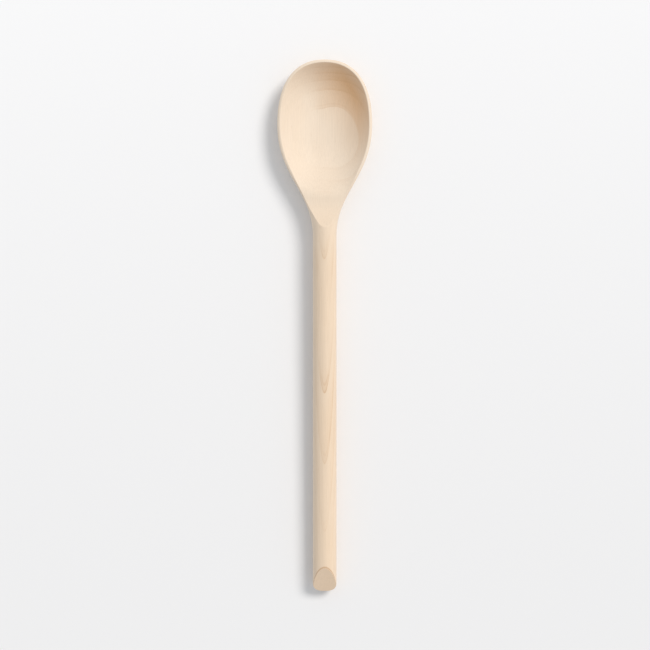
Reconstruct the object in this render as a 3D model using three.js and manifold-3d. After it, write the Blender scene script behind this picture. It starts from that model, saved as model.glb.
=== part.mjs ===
// A mixing spoon carved from one piece of hard maple, in millimetres with +Z up.
// It lies on a table with its bowl open upwards: +Y runs from the butt of the handle to the tip
// of the bowl, the plane x = 0 is its plane of symmetry, and the origin is on the table below the
// middle of its box.
//
// The spoon is first drawn in the frame of the board it is cut from, where the handle's axis is the
// line x = 0, z = 0. Half ribs, each a profile from the top of the spoon round its edge to the
// underside, are lofted along the outline: straight across the handle and neck, and fanned round
// the front of the bowl. The loft is then trimmed by planes and laid down on the table.

import * as THREE from 'three';
import { mergeVertices } from 'three/addons/utils/BufferGeometryUtils.js';
import Module from 'manifold-3d';

const { lerp, smoothstep, degToRad } = THREE.MathUtils;

// Sizes of the whole spoon
const overallLength = 355.6; // tip of the bowl to butt of the handle, before the butt is cut slantwise
const boardThickness = 20.6; // top of the handle to underside of the bowl

// Sizes of the handle
const handleDiameter = 15.9;
const domeLength = 5.6; // length of the rounded butt
const domeFullness = 2.6; // power of its curve: 2 is an ellipse, more is blunter
const thumbFlatLength = 16.1; // slanted flat on top of the butt, measured along the handle
const thumbFlatAngle = 26; // degrees between that flat and the handle's axis

// Sizes of the bowl in plan; lengths are measured from the tip
const bowlWidth = 63.5;
const widestFromTip = 43;
const bowlLength = 118; // where the outline has run out into the handle
const tipFullness = 0.72; // how blunt each stretch of the outline is, as a share of its span
const shoulderFullness = 0.56;
const flankFullness = 0.47;
const neckFullness = 0.4;

// Sizes of the bowl in section; heights are measured from the handle's axis
const rimHeight = 2.6;
const rimWidth = 2; // rounded edge of the rim, in plan
const rimDrop = 1.8; // and in height
const floorThickness = 3.6;
const wallFullness = 2.4; // power of the hollow's walls: 2 is a parabola, more is steeper at the rim
const tipWallFullness = 3.2; // and of its wall at the tip
const hollowLength = 92; // tip to the end of the hollow
const hollowBluntness = 3; // power that keeps the floor long and level
const hollowRunOut = 1.7; // power that eases the hollow out into the neck
const bowlRoundness = 0.75; // power of the underside: 0.5 is an ellipse, 1 is a parabola
const tipRoundness = 0.55; // and of the underside at the tip
const soleDepth = 0.3; // wood sanded off where the bowl stands on the table

// Sizes of the neck, from the tip
const archFromTip = 112.2; // where a ramp from the rim's plane has climbed to the crest of the handle
const rampAngle = 20; // degrees
const rampFillet = 25; // radius of the curve at its foot
const neckFrom = 75; // where the section starts to turn from bowl to handle

// Steps of the loft
const hollowSteps = 10;
const rimSteps = 8;
const undersideSteps = 11;
const fanRibs = 14;
const flankRibs = 24;
const neckRibs = 3;
const handleRibs = 4;
const domeRibs = 6;
const archAngle = degToRad(16); // half angle of the handle's crest that the ramp first cuts

const handleRadius = handleDiameter / 2;
const soleHeight = handleRadius - boardThickness;
const hollowDepth = rimHeight - soleHeight - floorThickness;
const tipY = overallLength / 2;
const buttY = -tipY;
const widestY = tipY - widestFromTip;
const neckEndY = tipY - bowlLength;
const archY = tipY - archFromTip;
const domeY = buttY + domeLength;

// Outline of one side of the bowl: from the tip to the widest place, and from there to the handle
const frontCurve = new THREE.CubicBezierCurve(
  new THREE.Vector2(0, tipY),
  new THREE.Vector2((tipFullness * bowlWidth) / 2, tipY),
  new THREE.Vector2(bowlWidth / 2, widestY + shoulderFullness * widestFromTip),
  new THREE.Vector2(bowlWidth / 2, widestY),
);
const flankSpan = widestY - neckEndY;
const flankCurve = new THREE.CubicBezierCurve(
  new THREE.Vector2(bowlWidth / 2, widestY),
  new THREE.Vector2(bowlWidth / 2, widestY - flankFullness * flankSpan),
  new THREE.Vector2(handleRadius, neckEndY + neckFullness * flankSpan),
  new THREE.Vector2(handleRadius, neckEndY),
);

// Half width of the outline behind the widest place, found by halving the curve's parameter
function halfWidth(y) {
  if (y <= neckEndY) return handleRadius;
  let low = 0;
  let high = 1;
  for (let step = 0; step < 40; step++) {
    const middle = (low + high) / 2;
    if (flankCurve.getPoint(middle).y > y) low = middle;
    else high = middle;
  }
  return flankCurve.getPoint(low).x;
}

// 0 in the bowl, 1 in the handle
function handleShare(y) {
  return 1 - smoothstep(y, archY, tipY - neckFrom);
}

// Height of the face that the rim lies in: a plane in the bowl, then a fillet and a straight ramp
const rampTurn = degToRad(rampAngle);
const rampSlope = Math.tan(rampTurn);
const rampY = archY + (handleRadius - rimHeight) / rampSlope;
const filletReach = rampFillet * Math.tan(rampTurn / 2);
function faceHeight(y) {
  const along = rampY - y;
  if (along <= -filletReach) return rimHeight;
  if (along >= filletReach * Math.cos(rampTurn)) return rimHeight + along * rampSlope;
  return rimHeight + rampFillet - Math.sqrt(rampFillet ** 2 - (along + filletReach) ** 2);
}

// Depth of the hollow below the rim's plane, on the centre line
function depthOfHollow(y) {
  const share = (widestY - y) / (hollowLength - widestFromTip);
  if (share <= 0) return hollowDepth;
  if (share >= 1) return 0;
  return hollowDepth * (1 - share ** hollowBluntness) ** hollowRunOut;
}

// A rib's place in the board: from a point on the centre line out to the edge of the outline
function placed(profile, centre, edge) {
  const outward = edge.clone().sub(centre).normalize();
  return profile.map(
    ({ x, y }) => new THREE.Vector3(centre.x + outward.x * x, centre.y + outward.y * x, y),
  );
}

// Profile of a rib, as points (distance out, height), from the centre of the top to that of the underside.
// The fan's ribs give how near to the tip they point, from 0 at the sides to 1 at the tip.
function ribProfile(y, width, crest, tipShare = 0) {
  const share = handleShare(y);
  const side = lerp(rimHeight - rimDrop, 0, share);
  const edgeWidth = lerp(rimWidth, width, share);
  const edgeRise = lerp(rimDrop, handleRadius, share);
  const roundness = lerp(lerp(bowlRoundness, tipRoundness, tipShare), 0.5, share);
  const fullness = lerp(wallFullness, tipWallFullness, tipShare);
  const under = lerp(soleHeight, -handleRadius, smoothstep(widestY - y, 0, flankSpan));
  const face = crest ? handleRadius * Math.cos(archAngle) : faceHeight(y);
  const cutAngle = Math.asin(Math.min(1, (face - side) / edgeRise));
  const faceWidth = width - edgeWidth * (1 - Math.cos(cutAngle));
  const depth = depthOfHollow(y);
  const profile = [];
  for (let i = 0; i < hollowSteps; i++) {
    if (crest) {
      const turn = (archAngle * i) / hollowSteps;
      profile.push(new THREE.Vector2(width * Math.sin(turn), handleRadius * Math.cos(turn)));
    } else {
      const out = i / hollowSteps;
      profile.push(new THREE.Vector2(faceWidth * out, face - depth * (1 - out ** fullness)));
    }
  }
  for (let i = 0; i < rimSteps; i++) {
    const turn = cutAngle * (1 - i / rimSteps);
    const inset = edgeWidth * (1 - Math.cos(turn));
    profile.push(new THREE.Vector2(width - inset, side + edgeRise * Math.sin(turn)));
  }
  for (let i = 0; i <= undersideSteps; i++) {
    const turn = (Math.PI / 2) * (i / undersideSteps);
    const fall = Math.sin(turn) ** (2 * roundness);
    const out = i === undersideSteps ? 0 : width * Math.cos(turn);
    profile.push(new THREE.Vector2(out, side + (under - side) * fall));
  }
  return profile;
}

// Ribs of the right half, from the tip of the bowl to the butt
function rightRibs() {
  const ribs = [];
  const bowlCentre = new THREE.Vector2(0, widestY);
  for (let i = 0; i < fanRibs; i++) {
    const edge = frontCurve.getPoint(i / fanRibs);
    const tipShare = smoothstep(1 - i / fanRibs, 0, 1);
    const profile = ribProfile(widestY, edge.distanceTo(bowlCentre), false, tipShare);
    ribs.push(placed(profile, bowlCentre, edge));
  }
  const across = (y, width, crest) => {
    const edge = new THREE.Vector2(width, y);
    ribs.push(placed(ribProfile(y, width, crest), new THREE.Vector2(0, y), edge));
  };
  const lastCutY = archY + (handleRadius * (1 - Math.cos(archAngle))) / rampSlope;
  for (let i = 0; i <= flankRibs; i++) {
    const y = lerp(widestY, lastCutY, i / flankRibs);
    across(y, halfWidth(y), false);
  }
  for (let i = 0; i < neckRibs; i++) {
    const y = lerp(archY, neckEndY, i / neckRibs);
    across(y, halfWidth(y), true);
  }
  for (let i = 0; i <= handleRibs; i++) {
    across(lerp(neckEndY, domeY, i / handleRibs), handleRadius, true);
  }
  const dome = ribs.at(-1);
  for (let i = 1; i <= domeRibs; i++) {
    const turn = (Math.PI / 2) * (i / domeRibs);
    const shrink = i === domeRibs ? 0 : Math.cos(turn) ** (2 / domeFullness);
    const y = domeY - domeLength * Math.sin(turn) ** (2 / domeFullness);
    ribs.push(dome.map((point) => new THREE.Vector3(point.x * shrink, y, point.z * shrink)));
  }
  return ribs;
}

// Skin over the ribs and their mirror image, as one closed mesh
function loft(ribs) {
  const positions = [];
  const triangle = (a, b, c) => {
    if (a.equals(b) || b.equals(c) || c.equals(a)) return;
    positions.push(...a, ...b, ...c);
    const [p, q, r] = [a, b, c].map((point) => new THREE.Vector3(-point.x, point.y, point.z));
    positions.push(...p, ...r, ...q);
  };
  for (let i = 1; i < ribs.length; i++) {
    for (let j = 1; j < ribs[i].length; j++) {
      const [a, b] = [ribs[i - 1][j - 1], ribs[i - 1][j]];
      const [c, d] = [ribs[i][j], ribs[i][j - 1]];
      triangle(a, c, b);
      triangle(a, d, c);
    }
  }
  const geometry = new THREE.BufferGeometry();
  geometry.setAttribute('position', new THREE.Float32BufferAttribute(positions, 3));
  return geometry;
}

const wasm = await Module();
wasm.setup();

function solid(geometry) {
  const bare = geometry.clone();
  bare.deleteAttribute('normal');
  bare.deleteAttribute('uv');
  const merged = mergeVertices(bare);
  return new wasm.Manifold(
    new wasm.Mesh({
      numProp: 3,
      vertProperties: new Float32Array(merged.attributes.position.array),
      triVerts: new Uint32Array(merged.index.array),
    }),
  );
}

function geometryOf(manifold) {
  const { vertProperties, triVerts } = manifold.getMesh();
  const geometry = new THREE.BufferGeometry();
  geometry.setAttribute('position', new THREE.BufferAttribute(vertProperties, 3));
  geometry.setIndex(new THREE.BufferAttribute(triVerts, 1));
  geometry.computeVertexNormals();
  return geometry;
}

// The table that the spoon lies on touches the bowl's sole and the handle's underside at the butt
const restPitch = Math.atan((-soleHeight - soleDepth - handleRadius) / (widestY - domeY));

// Wood above the slanted flat on top of the butt
function thumbCut() {
  const reach = 2 * handleDiameter;
  return new THREE.BoxGeometry(reach, 2 * reach, reach)
    .translate(0, 0, reach / 2)
    .rotateX(degToRad(thumbFlatAngle))
    .translate(0, buttY + thumbFlatLength, handleRadius);
}

// Wood below the table, where the round underside of the bowl is sanded to stand
function soleCut() {
  return new THREE.BoxGeometry(bowlWidth, widestFromTip, boardThickness)
    .translate(0, 0, -boardThickness / 2)
    .rotateX(-restPitch)
    .translate(0, widestY, soleHeight + soleDepth);
}

const maple = new THREE.MeshStandardMaterial({ color: 0xe6cdb0, roughness: 0.6, metalness: 0 });

const carved = solid(loft(rightRibs()))
  .subtract(solid(thumbCut()))
  .subtract(solid(soleCut()));

const spoonBody = new THREE.Mesh(geometryOf(carved), maple);
spoonBody.name = 'spoon_body';

// Laid down on the table, with the middle of its box over the origin
const spoon = new THREE.Group();
spoon.add(spoonBody);
spoon.rotation.x = restPitch;
const box = new THREE.Box3().setFromObject(spoon, true);
spoon.position.set(0, -(box.min.y + box.max.y) / 2, -box.min.z);

export default spoon;
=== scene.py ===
import bpy
import bmesh
from math import asin, atan, cos, pi, radians, sin, sqrt, tan
from mathutils import Matrix, Vector


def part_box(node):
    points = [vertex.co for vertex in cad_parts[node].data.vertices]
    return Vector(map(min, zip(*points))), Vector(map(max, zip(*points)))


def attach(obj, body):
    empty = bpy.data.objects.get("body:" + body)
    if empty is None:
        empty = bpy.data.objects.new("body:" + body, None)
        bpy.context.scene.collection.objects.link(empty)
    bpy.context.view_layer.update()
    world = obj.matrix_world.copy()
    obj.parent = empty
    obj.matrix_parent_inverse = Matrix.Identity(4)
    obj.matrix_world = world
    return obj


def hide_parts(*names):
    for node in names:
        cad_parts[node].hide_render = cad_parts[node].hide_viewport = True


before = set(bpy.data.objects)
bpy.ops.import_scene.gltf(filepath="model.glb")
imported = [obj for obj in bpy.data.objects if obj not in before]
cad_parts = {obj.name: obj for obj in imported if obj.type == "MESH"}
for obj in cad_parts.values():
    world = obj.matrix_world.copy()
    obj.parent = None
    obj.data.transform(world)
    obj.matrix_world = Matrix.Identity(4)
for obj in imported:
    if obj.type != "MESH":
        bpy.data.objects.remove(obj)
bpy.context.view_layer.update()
print("frame loaded:", sorted(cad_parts))


# the spoon, all in millimetres; its long axis is the axis of the handle
spoon = {
    "length": 355.6, "board": 20.6,
    "handle": 15.9, "dome": 5.6, "domeFull": 2.6, "flatLength": 16.1, "flatAngle": 26.0,
    "bowl": 63.5, "widest": 43.0, "bowlLength": 118.0,
    "tipFull": 0.72, "shoulderFull": 0.56, "flankFull": 0.47, "neckFull": 0.40,
    "rimHeight": 2.6, "rimWidth": 2.0, "rimDrop": 1.8,
    "floor": 3.6, "wallFull": 2.4, "tipWallFull": 3.2,
    "hollowLength": 92.0, "hollowBlunt": 3.0, "hollowRunOut": 1.7,
    "round": 0.75, "tipRound": 0.55, "sole": 0.3,
    "arch": 112.2, "rampAngle": 20.0, "rampFillet": 25.0, "neckFrom": 75.0,
    "hollowSteps": 26, "rimSteps": 10, "underSteps": 26,
    "fanRibs": 40, "flankRibs": 66, "neckRibs": 6, "handleRibs": 24, "domeRibs": 14,
    "archAngle": 10.0, "bowlFrom": 60.0,
    "edgeEase": 0.5, "edgeSteps": 3, "flatEase": 0.55, "flatSteps": 4,  # sanded edges
    "weld": 1e-4, "onPlane": 1e-5, "faceWeight": 60,
}


def smooth(t):
    t = min(1.0, max(0.0, t))
    return t * t * (3 - 2 * t)


def mix(a, b, t):
    return a + (b - a) * t


def bezier(a, b, c, d, t):
    u = 1 - t
    return a * u**3 + b * 3 * u * u * t + c * 3 * u * t * t + d * t**3


def makeSpoon(s):
    r = s["handle"] / 2
    tipY = s["length"] / 2
    widestY = tipY - s["widest"]
    neckEndY = tipY - s["bowlLength"]
    archY = tipY - s["arch"]
    domeY = s["dome"] - tipY
    span = widestY - neckEndY
    half = s["bowl"] / 2
    soleZ = r - s["board"]
    deep = s["rimHeight"] - soleZ - s["floor"]
    rampTurn = radians(s["rampAngle"])
    rampY = archY + (r - s["rimHeight"]) / tan(rampTurn)
    fillet = s["rampFillet"]
    reach = fillet * tan(rampTurn / 2)
    archTurn = radians(s["archAngle"])

    def front(t):
        return bezier(Vector((0, tipY)), Vector((s["tipFull"] * half, tipY)),
                      Vector((half, widestY + s["shoulderFull"] * s["widest"])),
                      Vector((half, widestY)), t)

    def flank(t):
        return bezier(Vector((half, widestY)), Vector((half, widestY - s["flankFull"] * span)),
                      Vector((r, neckEndY + s["neckFull"] * span)), Vector((r, neckEndY)), t)

    def halfWidth(y):
        if y <= neckEndY:
            return r
        low, high = 0.0, 1.0
        for _ in range(40):
            mid = (low + high) / 2
            low, high = (mid, high) if flank(mid).y > y else (low, mid)
        return flank(low).x

    # the rim's plane, then a ramp up to the crest of the handle
    def faceHeight(y):
        along = rampY - y
        if along <= -reach:
            return s["rimHeight"]
        if along >= reach * cos(rampTurn):
            return s["rimHeight"] + along * tan(rampTurn)
        return s["rimHeight"] + fillet - sqrt(fillet**2 - (along + reach) ** 2)

    # one rib: hollow, rounded rim, underside, as (distance out, height)
    def profile(y, width, crest, tip=0.0):
        share = 1 - smooth((y - archY) / (tipY - s["neckFrom"] - archY))
        side = mix(s["rimHeight"] - s["rimDrop"], 0, share)
        edgeWide = mix(s["rimWidth"], width, share)
        edgeRise = mix(s["rimDrop"], r, share)
        power = 2 * mix(mix(s["round"], s["tipRound"], tip), 0.5, share)
        full = mix(s["wallFull"], s["tipWallFull"], tip)
        under = mix(soleZ, -r, smooth((widestY - y) / span))
        face = r * cos(archTurn) if crest else faceHeight(y)
        turn = asin(min(1.0, (face - side) / edgeRise))
        faceWide = width - edgeWide * (1 - cos(turn))
        part = min(1.0, max(0.0, (widestY - y) / (s["hollowLength"] - s["widest"])))
        depth = deep * (1 - part ** s["hollowBlunt"]) ** s["hollowRunOut"]
        points = []
        for i in range(s["hollowSteps"]):
            t = i / s["hollowSteps"]
            if crest:
                points.append((width * sin(archTurn * t), r * cos(archTurn * t)))
            else:
                points.append((faceWide * t, face - depth * (1 - t**full)))
        for i in range(s["rimSteps"]):
            a = turn * (1 - i / s["rimSteps"])
            points.append((width - edgeWide * (1 - cos(a)), side + edgeRise * sin(a)))
        for i in range(s["underSteps"] + 1):
            a = pi / 2 * i / s["underSteps"]
            out = 0.0 if i == s["underSteps"] else width * cos(a)
            points.append((out, side + (under - side) * sin(a) ** power))
        return points

    def placed(points, centre, edge):
        way = (edge - centre).normalized()
        return [Vector((centre.x + way.x * out, centre.y + way.y * out, z)) for out, z in points]

    ribs = []
    middle = Vector((0, widestY))
    for i in range(s["fanRibs"]):  # fan round the front of the bowl
        edge = front(i / s["fanRibs"])
        tip = smooth(1 - i / s["fanRibs"])
        ribs.append(placed(profile(widestY, (edge - middle).length, False, tip), middle, edge))

    def across(y, width, crest):
        ribs.append(placed(profile(y, width, crest), Vector((0, y)), Vector((width, y))))

    lastY = archY + r * (1 - cos(archTurn)) / tan(rampTurn)
    for i in range(s["flankRibs"] + 1):
        y = mix(widestY, lastY, i / s["flankRibs"])
        across(y, halfWidth(y), False)
    archRib = len(ribs)
    for i in range(s["neckRibs"]):
        y = mix(archY, neckEndY, i / s["neckRibs"])
        across(y, halfWidth(y), True)
    for i in range(s["handleRibs"] + 1):
        across(mix(neckEndY, domeY, i / s["handleRibs"]), r, True)
    last = ribs[-1]
    for i in range(1, s["domeRibs"] + 1):
        a = pi / 2 * i / s["domeRibs"]
        k = 0.0 if i == s["domeRibs"] else cos(a) ** (2 / s["domeFull"])
        y = domeY - s["dome"] * sin(a) ** (2 / s["domeFull"])
        ribs.append([Vector((p.x * k, y, p.z * k)) for p in last])

    # skin: the first rib is drawn, and each next one is pulled out of it
    bm = bmesh.new()
    ribTag = bm.verts.layers.int.new("rib")
    lineTag = bm.verts.layers.int.new("line")
    row = [bm.verts.new(p) for p in ribs[0]]
    for j, v in enumerate(row):
        v[lineTag] = j
    for a, b in zip(row, row[1:]):
        bm.edges.new((a, b))
    for i, places in enumerate(ribs[1:], 1):
        rib = [bm.edges.get(pair) for pair in zip(row, row[1:])]
        pulled = bmesh.ops.extrude_edge_only(bm, edges=rib)
        fresh = {g for g in pulled["geom"] if isinstance(g, bmesh.types.BMVert)}
        grown = []
        for j, v in enumerate(row):
            new = next(e.other_vert(v) for e in v.link_edges if e.other_vert(v) in fresh)
            new.co = places[j]
            new[ribTag] = i
            new[lineTag] = j
            grown.append(new)
        row = grown
    bmesh.ops.mirror(bm, geom=bm.verts[:] + bm.edges[:] + bm.faces[:], axis="X",
                     merge_dist=s["onPlane"])
    bmesh.ops.remove_doubles(bm, verts=bm.verts[:], dist=s["weld"])
    bmesh.ops.recalc_face_normals(bm, faces=bm.faces[:])

    # inner edge of the rim and the arch on the handle, sanded over
    rimLine = s["hollowSteps"]
    crestEdges = []
    for e in bm.edges:
        a, b = e.verts
        onRim = a[lineTag] == b[lineTag] == rimLine and max(a[ribTag], b[ribTag]) <= archRib
        onArch = a[ribTag] == b[ribTag] == archRib and max(a[lineTag], b[lineTag]) <= rimLine
        if onRim or onArch:
            crestEdges.append(e)
    bmesh.ops.bevel(bm, geom=crestEdges, offset=s["edgeEase"], offset_type="OFFSET",
                    segments=s["edgeSteps"], profile=0.5, affect="EDGES", material=-1,
                    clamp_overlap=True)

    # slanted flat on the butt
    slant = radians(s["flatAngle"])
    flatSpot = Vector((0, s["flatLength"] - tipY, r))
    flatWay = Vector((0, -sin(slant), cos(slant)))
    cut = bmesh.ops.bisect_plane(bm, geom=bm.verts[:] + bm.edges[:] + bm.faces[:],
                                 dist=s["onPlane"], plane_co=flatSpot, plane_no=flatWay,
                                 clear_outer=True)
    loop = [g for g in cut["geom_cut"] if isinstance(g, bmesh.types.BMEdge)]
    bmesh.ops.holes_fill(bm, edges=loop, sides=0)
    bmesh.ops.bevel(bm, geom=loop, offset=s["flatEase"], offset_type="OFFSET",
                    segments=s["flatSteps"], profile=0.5, affect="EDGES", material=-1,
                    clamp_overlap=True)

    # laid on the table, then the sole sanded flat
    pitch = atan((-soleZ - s["sole"] - r) / (widestY - domeY))
    lay = Matrix.Rotation(pitch, 3, "X")
    lift = (lay @ Vector((0, domeY, -r))).z
    bmesh.ops.rotate(bm, verts=bm.verts[:], cent=(0, 0, 0), matrix=lay)
    bmesh.ops.translate(bm, verts=bm.verts[:], vec=(0, 0, -lift))
    bowlFaces = [f for f in bm.faces if f.calc_center_median().y > s["bowlFrom"]]
    bowlGeom = list({g for f in bowlFaces for g in [*f.verts, *f.edges]}) + bowlFaces
    cut = bmesh.ops.bisect_plane(bm, geom=bowlGeom, dist=s["onPlane"], plane_co=(0, 0, 0),
                                 plane_no=(0, 0, -1), clear_outer=True)
    loop = [g for g in cut["geom_cut"] if isinstance(g, bmesh.types.BMEdge)]
    bmesh.ops.holes_fill(bm, edges=loop, sides=0)
    bmesh.ops.scale(bm, verts=bm.verts[:], vec=(0.001,) * 3)

    # its middle goes where the node's middle is
    low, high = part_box("spoon_body")
    ys = [v.co.y for v in bm.verts]
    slide = (low[1] + high[1] - min(ys) - max(ys)) / 2
    bmesh.ops.translate(bm, verts=bm.verts[:], vec=(0, slide, 0))
    shift = Vector((0, 1000 * slide, -lift))
    planes = {"flat": (lay @ flatSpot + shift, lay @ flatWay),
              "rim": (lay @ Vector((0, 0, s["rimHeight"])) + shift, lay @ Vector((0, 0, 1))),
              "middle": lay @ Vector((0, widestY, 0)) + shift}
    for f in bm.faces:
        f.smooth = True
    openEdges = sum(1 for e in bm.edges if not e.is_manifold)
    print("spoon skin:", len(bm.faces), "faces, open edges", openEdges)
    mesh = bpy.data.meshes.new("maple_spoon")
    bm.to_mesh(mesh)
    bm.free()
    piece = bpy.data.objects.new("maple_spoon", mesh)
    bpy.context.scene.collection.objects.link(piece)
    even = piece.modifiers.new("even normals", "WEIGHTED_NORMAL")
    even.weight = s["faceWeight"]
    return piece, planes


def linear(code):
    channels = [int(code[i:i + 2], 16) / 255 for i in (1, 3, 5)]
    return tuple(c / 12.92 if c <= 0.04045 else ((c + 0.055) / 1.055) ** 2.4 for c in channels) + (1.0,)


# stops are for a colour ramp: (place, grey) in order
def add(tree, kind, inputs=(), stops=(), **settings):
    made = tree.nodes.new(kind)
    for name, value in settings.items():
        setattr(made, name, value)
    if stops:
        marks = made.color_ramp.elements
        for at, grey in stops[1:-1]:
            marks.new(at)
        for mark, (at, grey) in zip(marks, stops):
            mark.position, mark.color = at, (grey, grey, grey, 1)
    for key, value in dict(inputs).items():
        if isinstance(value, bpy.types.NodeSocket):
            tree.links.new(value, made.inputs[key])
        else:
            made.inputs[key].default_value = value
    return made


# how far a point lies below a plane
def below(tree, point, plane):
    spot, way = plane
    height = add(tree, "ShaderNodeVectorMath", {0: point, 1: way}, operation="DOT_PRODUCT")
    return add(tree, "ShaderNodeMath", {0: spot.dot(way), 1: height.outputs["Value"]},
               operation="SUBTRACT")


# hard maple, flat sawn, carved and sanded bare: creamy, even and matt; faint growth rings show as ovals
# in the hollow and as long tongues on the handle, end grain facing the butt is browner, partly as
# painted shade, the walls of the hollow that face away from the lamp carry painted shade, and short
# brown flecks follow the fibres; lengths in millimetres
maple = {
    "pale": "#eddbc6", "handleTone": "#e8d0b5", "ringTone": "#cda67c", "paintedShadeTone": "#d2a371",
    "endGrainShadeTone": "#b98a58", "fleckTone": "#b98d63",
    "ior": 1.5, "shine": 0.28, "roughness": 0.62, "glossSwing": 0.05,
    "nap": 0.4, "napRough": 0.5,  # fuzz of the sanded fibres
    "noiseSpan": (0.3, 0.7),  # where most of a noise lies
    # growth rings: shells round the pith
    "ringSpacing": 2.79, "ringHeight": 3.6, "climb": 0.048, "pithAbove": 67.0, "pithAside": -1.5,
    "bowlFrom": 72.0, "bowlTilt": 0.57, "tiltBlend": 40.0, "wander": 0.35,
    # one year: a sharp dark edge, a fainter false ring, then a fade
    "yearDark": ((0.0, 1.0), (0.015, 0.95), (0.05, 0.45), (0.1, 0.34), (0.115, 0.75), (0.13, 0.7),
                 (0.17, 0.28), (0.5, 0.14), (0.85, 0.0), (1.0, 0.0)),
    # how much the rings show along the spoon, from the butt to the tip
    "showEnds": (-178.0, 178.0),
    "ringsShow": ((0.0, 0.05), (0.15, 0.3), (0.25, 0.5), (0.38, 0.85), (0.45, 0.5), (0.5, 0.12),
                  (0.55, 0.12), (0.62, 0.55), (0.68, 0.05), (0.76, 0.14), (0.9, 0.17), (0.93, 0.6),
                  (1.0, 0.8)),
    # they come and go in patches, and show more on the right
    "patchSwing": 40.0, "patchSpan": (4.0, 32.0), "patchLeast": 0.1, "offRim": (0.2, 0.8),
    # painted shade up one side of the hollow: browner inner walls that face away from the lamp
    "shadeWay": (0.85, 0.52, 0.0), "shadeSpan": (68.0, 98.0), "shadeCurve": 1.5,
    "ovalRing": (2.0, 2.08), "shadeInOval": 0.6, "shadeBeyond": 0.9,
    "shadeDepth": 6.0, "shadeFromRim": ((0.0, 0.0), (0.05, 0.55), (1.0, 1.0)),
    "shadeUpper": (0.1, 0.35), "shadeInward": (3.0, 0.0),
    # cut across the fibres at the butt and facing it, away from the lamp: browner, partly end grain and
    # partly painted shade; and a thin brown line at the edge of its flat
    "endGrainShadeSpan": (-0.2, -0.65), "endGrainShadeShare": 0.22,
    "flatLineSpan": (0.75, 0.4), "flatLineShare": 0.55, "flatLineEdge": (0.02, 0.15),
    "streak": (0.955, 1.035), "grainBump": 0.12, "grainHeight": 0.2,
    "fleckSpan": (0.66, 0.80), "fleckShare": 0.22,
    "cloudSwing": 0.15, "warmSpan": (95.0, 40.0), "warmBowl": 0.1, "warmHandle": 0.9,
    # noises: size across and along the spoon, detail, roughness
    "noises": {"wander": (13.0, 75.0, 3.0, 0.45), "patch": (12.0, 30.0, 2.0, 0.5),
               "fibre": (0.55, 26.0, 4.0, 0.6), "cloud": (20.0, 60.0, 2.0, 0.5),
               "fleck": (0.32, 4.5, 1.0, 0.5)},  # wider than real vessels, so that flecks show
}


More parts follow.
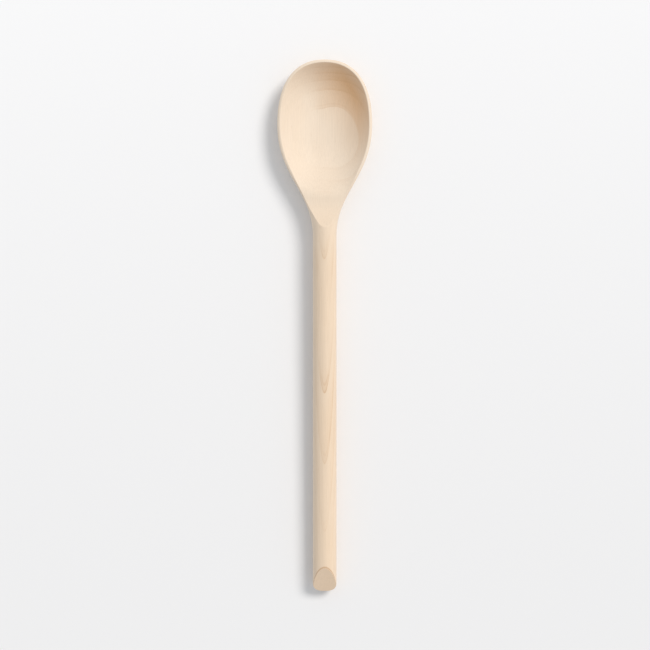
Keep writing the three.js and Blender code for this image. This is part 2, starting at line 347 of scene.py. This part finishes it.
def makeMaple(m, planes):
    material = bpy.data.materials.new("hard_maple_sanded")
    material.use_nodes = True
    tree = material.node_tree
    tree.nodes.clear()
    place = add(tree, "ShaderNodeTexCoord")
    mm = add(tree, "ShaderNodeVectorMath", {0: place.outputs["Object"], "Scale": 1000.0},
             operation="SCALE")
    axes = add(tree, "ShaderNodeSeparateXYZ", {0: mm.outputs[0]})
    facing = add(tree, "ShaderNodeSeparateXYZ", {0: place.outputs["Normal"]})

    # noises, drawn out along the spoon
    noise = {}
    for name, (wide, long, detail, rough) in m["noises"].items():
        drawn = add(tree, "ShaderNodeMapping",
                    {"Vector": mm.outputs[0], "Scale": (1 / wide, 1 / long, 1 / wide)})
        made = add(tree, "ShaderNodeTexNoise", {"Vector": drawn.outputs[0], "Scale": 1.0,
                                                "Detail": detail, "Roughness": rough})
        noise[name] = made.outputs[0]

    # growth rings: shells round a pith above the board, climbing towards the butt, steeper in the bowl
    aside = add(tree, "ShaderNodeMath", {0: axes.outputs["X"], 1: m["pithAside"]},
                operation="SUBTRACT")
    bow = add(tree, "ShaderNodeMath", {0: aside.outputs[0], 1: aside.outputs[0]}, operation="MULTIPLY")
    bow = add(tree, "ShaderNodeMath",
              {0: bow.outputs[0], 1: -0.5 / m["pithAbove"], 2: axes.outputs["Z"]},
              operation="MULTIPLY_ADD")
    over = add(tree, "ShaderNodeMath", {0: axes.outputs["Y"], 1: m["bowlFrom"]}, operation="SUBTRACT")
    over = add(tree, "ShaderNodeMath", {0: over.outputs[0], 1: 0.0, 2: m["tiltBlend"]},
               operation="SMOOTH_MAX")
    level = add(tree, "ShaderNodeMath",
                {0: over.outputs[0], 1: m["bowlTilt"], 2: axes.outputs["Y"]}, operation="MULTIPLY_ADD")
    shell = add(tree, "ShaderNodeMath", {0: level.outputs[0], 1: m["climb"], 2: bow.outputs[0]},
                operation="MULTIPLY_ADD")
    wander = add(tree, "ShaderNodeMapRange", {0: noise["wander"], 3: -m["wander"], 4: m["wander"]})
    shell = add(tree, "ShaderNodeMath", {0: wander.outputs[0], 1: shell.outputs[0]}, operation="ADD")
    start = m["ringHeight"] + m["climb"] * m["bowlFrom"]
    rings = add(tree, "ShaderNodeMath", {0: shell.outputs[0], 1: start}, operation="SUBTRACT")
    rings = add(tree, "ShaderNodeMath", {0: rings.outputs[0], 1: m["ringSpacing"]}, operation="DIVIDE")
    year = add(tree, "ShaderNodeMath", {0: rings.outputs[0]}, operation="FRACT")
    late = add(tree, "ShaderNodeValToRGB", {0: year.outputs[0]}, m["yearDark"])
    butt, tip = m["showEnds"]
    along = add(tree, "ShaderNodeMapRange", {0: axes.outputs["Y"], 1: butt, 2: tip})
    shown = add(tree, "ShaderNodeValToRGB", {0: along.outputs[0]}, m["ringsShow"])
    patch = add(tree, "ShaderNodeMath",
                {0: noise["patch"], 1: m["patchSwing"], 2: axes.outputs["X"]}, operation="MULTIPLY_ADD")
    low, high = m["patchSpan"]
    patch = add(tree, "ShaderNodeMapRange",
                {0: patch.outputs[0], 1: low, 2: high, 3: m["patchLeast"], 4: 1.0})
    # rings would smear over the flat rim and neck, so they are kept off that plane
    sunk = below(tree, mm.outputs[0], planes["rim"])
    offRim = add(tree, "ShaderNodeMath", {0: sunk.outputs[0]}, operation="ABSOLUTE")
    low, high = m["offRim"]
    offRim = add(tree, "ShaderNodeMapRange", {0: offRim.outputs[0], 1: low, 2: high})
    for mask in (patch, shown, offRim):
        late = add(tree, "ShaderNodeMath", {0: late.outputs[0], 1: mask.outputs[0]},
                   operation="MULTIPLY")

    # painted shade: the hollow's inner walls that face away from the lamp are browner towards the tip
    # and the right, more so beyond its oval ring
    slant = add(tree, "ShaderNodeVectorMath", {0: mm.outputs[0], 1: m["shadeWay"]},
                operation="DOT_PRODUCT")
    low, high = m["shadeSpan"]
    side = add(tree, "ShaderNodeMapRange", {0: slant.outputs["Value"], 1: low, 2: high})
    side = add(tree, "ShaderNodeMath", {0: side.outputs[0], 1: m["shadeCurve"]}, operation="POWER")
    low, high = m["ovalRing"]
    beyond = add(tree, "ShaderNodeMapRange", {0: rings.outputs[0], 1: low, 2: high,
                                              3: m["shadeInOval"], 4: m["shadeBeyond"]})
    inside = add(tree, "ShaderNodeMapRange", {0: sunk.outputs[0], 1: 0.0, 2: m["shadeDepth"]})
    inside = add(tree, "ShaderNodeValToRGB", {0: inside.outputs[0]}, m["shadeFromRim"])
    low, high = m["shadeUpper"]
    upper = add(tree, "ShaderNodeMapRange", {0: facing.outputs["Z"], 1: low, 2: high})
    # only skin that leans towards the middle of the bowl, not its outer side
    fromMiddle = add(tree, "ShaderNodeVectorMath", {0: mm.outputs[0], 1: planes["middle"]},
                     operation="SUBTRACT")
    fromMiddle = add(tree, "ShaderNodeVectorMath", {0: fromMiddle.outputs[0], 1: (1, 1, 0)},
                     operation="MULTIPLY")
    outward = add(tree, "ShaderNodeVectorMath",
                  {0: fromMiddle.outputs[0], 1: place.outputs["Normal"]}, operation="DOT_PRODUCT")
    low, high = m["shadeInward"]
    inward = add(tree, "ShaderNodeMapRange", {0: outward.outputs["Value"], 1: low, 2: high})
    paintedShade = side
    for mask in (beyond, inside, upper, inward):
        paintedShade = add(tree, "ShaderNodeMath", {0: paintedShade.outputs[0], 1: mask.outputs[0]},
                    operation="MULTIPLY")

    # end grain facing the butt, away from the lamp, made browner, partly as painted shade; and a thin
    # brown line round the slanted flat
    low, high = m["endGrainShadeSpan"]
    endGrainShade = add(tree, "ShaderNodeMapRange",
               {0: facing.outputs["Y"], 1: low, 2: high, 3: 0.0, 4: m["endGrainShadeShare"]})
    # a thin brown line on the eased edge just under the slanted flat
    depth = below(tree, mm.outputs[0], planes["flat"])
    low, high = m["flatLineSpan"]
    flatLine = add(tree, "ShaderNodeMapRange",
                 {0: depth.outputs[0], 1: low, 2: high, 3: 0.0, 4: m["flatLineShare"]})
    low, high = m["flatLineEdge"]
    edge = add(tree, "ShaderNodeMapRange", {0: depth.outputs[0], 1: low, 2: high})
    flatLine = add(tree, "ShaderNodeMath", {0: flatLine.outputs[0], 1: edge.outputs[0]},
                 operation="MULTIPLY")
    brown = add(tree, "ShaderNodeMath", {0: endGrainShade.outputs[0], 1: flatLine.outputs[0]}, operation="ADD")

    # flecks: short brown dashes along the fibres
    low, high = m["fleckSpan"]
    fleck = add(tree, "ShaderNodeMapRange",
                {0: noise["fleck"], 1: low, 2: high, 3: 0.0, 4: m["fleckShare"]})

    # broad tone: the handle's wood is a little warmer than the bowl's
    least, most = m["noiseSpan"]
    cloud = add(tree, "ShaderNodeMapRange", {0: noise["cloud"], 1: least, 2: most,
                                             3: -m["cloudSwing"], 4: m["cloudSwing"]})
    low, high = m["warmSpan"]
    warm = add(tree, "ShaderNodeMapRange", {0: axes.outputs["Y"], 1: low, 2: high,
                                            3: m["warmBowl"], 4: m["warmHandle"]},
               interpolation_type="SMOOTHSTEP")
    warm = add(tree, "ShaderNodeMath", {0: warm.outputs[0], 1: cloud.outputs[0]}, operation="ADD",
               use_clamp=True)

    tone = add(tree, "ShaderNodeMix",
               {0: warm.outputs[0], 6: linear(m["pale"]), 7: linear(m["handleTone"])}, data_type="RGBA")
    # the painted shade of the hollow, the rings, and the end grain with its partly painted shade go
    # into the tone here
    for share, name in ((paintedShade, "paintedShadeTone"), (late, "ringTone"), (brown, "endGrainShadeTone")):
        tone = add(tree, "ShaderNodeMix",
                   {0: share.outputs[0], 6: tone.outputs[2], 7: linear(m[name])}, data_type="RGBA")
    # fibres: long fine streaks in tone, gloss and relief
    low, high = m["streak"]
    streak = add(tree, "ShaderNodeMapRange",
                 {0: noise["fibre"], 1: least, 2: most, 3: low, 4: high})
    tone = add(tree, "ShaderNodeVectorMath", {0: tone.outputs[2], "Scale": streak.outputs[0]},
               operation="SCALE")
    tone = add(tree, "ShaderNodeMix",
               {0: fleck.outputs[0], 6: tone.outputs[0], 7: linear(m["fleckTone"])}, data_type="RGBA")

    gloss = add(tree, "ShaderNodeMapRange",
                {0: noise["fibre"], 1: least, 2: most,
                 3: m["roughness"] + m["glossSwing"], 4: m["roughness"] - m["glossSwing"]})
    bump = add(tree, "ShaderNodeBump", {"Height": noise["fibre"], "Strength": m["grainBump"],
                                        "Distance": m["grainHeight"] / 1000})
    skin = add(tree, "ShaderNodeBsdfPrincipled",
               {"Base Color": tone.outputs[2], "Roughness": gloss.outputs[0],
                "Normal": bump.outputs[0], "IOR": m["ior"], "Specular IOR Level": m["shine"],
                "Sheen Weight": m["nap"], "Sheen Roughness": m["napRough"]})
    add(tree, "ShaderNodeOutputMaterial", {"Surface": skin.outputs[0]})
    return material


body, planes = makeSpoon(spoon)
body.data.materials.append(makeMaple(maple, planes))
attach(body, "root")
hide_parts("spoon_body")
print("spoon made")


# white matt laminate: flat and even, with painted shade making it a little darker towards the near end,
# away from the lamp; lengths in metres
table = {"far": "#f9f8f8", "near": "#efeeee", "reach": 0.22, "fadeCurve": 1.45,
         "roughness": 0.9, "shine": 0.1, "size": 6.0,
         "gap": 0.00005}  # a hair under the sole


def makeTable(t):
    material = bpy.data.materials.new("white_laminate_matt")
    material.use_nodes = True
    tree = material.node_tree
    tree.nodes.clear()
    place = add(tree, "ShaderNodeTexCoord")
    axes = add(tree, "ShaderNodeSeparateXYZ", {0: place.outputs["Object"]})
    fade = add(tree, "ShaderNodeMapRange", {0: axes.outputs["Y"], 1: -t["reach"], 2: t["reach"]})
    fade = add(tree, "ShaderNodeMath", {0: fade.outputs[0], 1: t["fadeCurve"]}, operation="POWER")
    tone = add(tree, "ShaderNodeMix",
               {0: fade.outputs[0], 6: linear(t["near"]), 7: linear(t["far"])}, data_type="RGBA")
    skin = add(tree, "ShaderNodeBsdfPrincipled",
               {"Base Color": tone.outputs[2], "Roughness": t["roughness"],
                "Specular IOR Level": t["shine"]})
    add(tree, "ShaderNodeOutputMaterial", {"Surface": skin.outputs[0]})
    bm = bmesh.new()
    bmesh.ops.create_grid(bm, x_segments=1, y_segments=1, size=t["size"] / 2,
                          matrix=Matrix.Translation((0, 0, -t["gap"])))
    mesh = bpy.data.meshes.new("table_top")
    bm.to_mesh(mesh)
    bm.free()
    top = bpy.data.objects.new("table_top", mesh)
    mesh.materials.append(material)
    bpy.context.scene.collection.objects.link(top)


makeTable(table)
print("table made")


# one big soft lamp from the upper right, and even light all round
light = {"towards": (0.522, 0.46, 0.718), "key": 1.78, "spread": 24.0, "fill": 0.6,
         "keyTone": (1.035, 1.0, 0.96), "fillTone": (0.962, 1.0, 1.037),
         "wall": "#f4f4f4"}


def makeLight(l):
    lamp = bpy.data.lights.new("soft_key", "SUN")
    lamp.energy = l["key"]
    lamp.color = l["keyTone"]
    lamp.angle = radians(l["spread"])
    holder = bpy.data.objects.new("soft_key", lamp)
    holder.rotation_euler = Vector(l["towards"]).to_track_quat("Z", "Y").to_euler()
    bpy.context.scene.collection.objects.link(holder)
    world = bpy.data.worlds.new("even_light")
    world.use_nodes = True
    tree = world.node_tree
    tree.nodes.clear()
    # a pale wall for what is seen directly or mirrored, and even light for the rest
    ray = add(tree, "ShaderNodeLightPath")
    seen = add(tree, "ShaderNodeMath",
               {0: ray.outputs["Is Camera Ray"], 1: ray.outputs["Is Glossy Ray"]}, operation="MAXIMUM")
    seen = add(tree, "ShaderNodeMath",
               {0: seen.outputs[0], 1: ray.outputs["Is Transmission Ray"]}, operation="MAXIMUM")
    even = add(tree, "ShaderNodeBackground", {"Color": (*l["fillTone"], 1), "Strength": l["fill"]})
    wall = add(tree, "ShaderNodeBackground", {"Color": linear(l["wall"]), "Strength": 1.0})
    both = add(tree, "ShaderNodeMixShader",
               {0: seen.outputs[0], 1: even.outputs[0], 2: wall.outputs[0]})
    add(tree, "ShaderNodeOutputWorld", {"Surface": both.outputs[0]})
    bpy.context.scene.world = world


makeLight(light)


# straight above, with the tip of the bowl at the top of the picture
shot = {"lens": 100.0, "sensor": 36.0, "sight": 50.0,
        "field": 0.4346, "atHeight": 0.0115, "right": 0.0002, "up": 0.0005}


def makeCamera(c):
    eye = bpy.data.cameras.new("above")
    eye.lens = c["lens"]
    eye.sensor_width = c["sensor"]
    eye.clip_end = c["sight"]
    holder = bpy.data.objects.new("above", eye)
    away = c["field"] * c["lens"] / c["sensor"]
    holder.location = (c["right"], c["up"], c["atHeight"] + away)
    bpy.context.scene.collection.objects.link(holder)
    bpy.context.scene.camera = holder


makeCamera(shot)
bpy.context.scene.view_settings.view_transform = "Standard"
print("light and camera set")
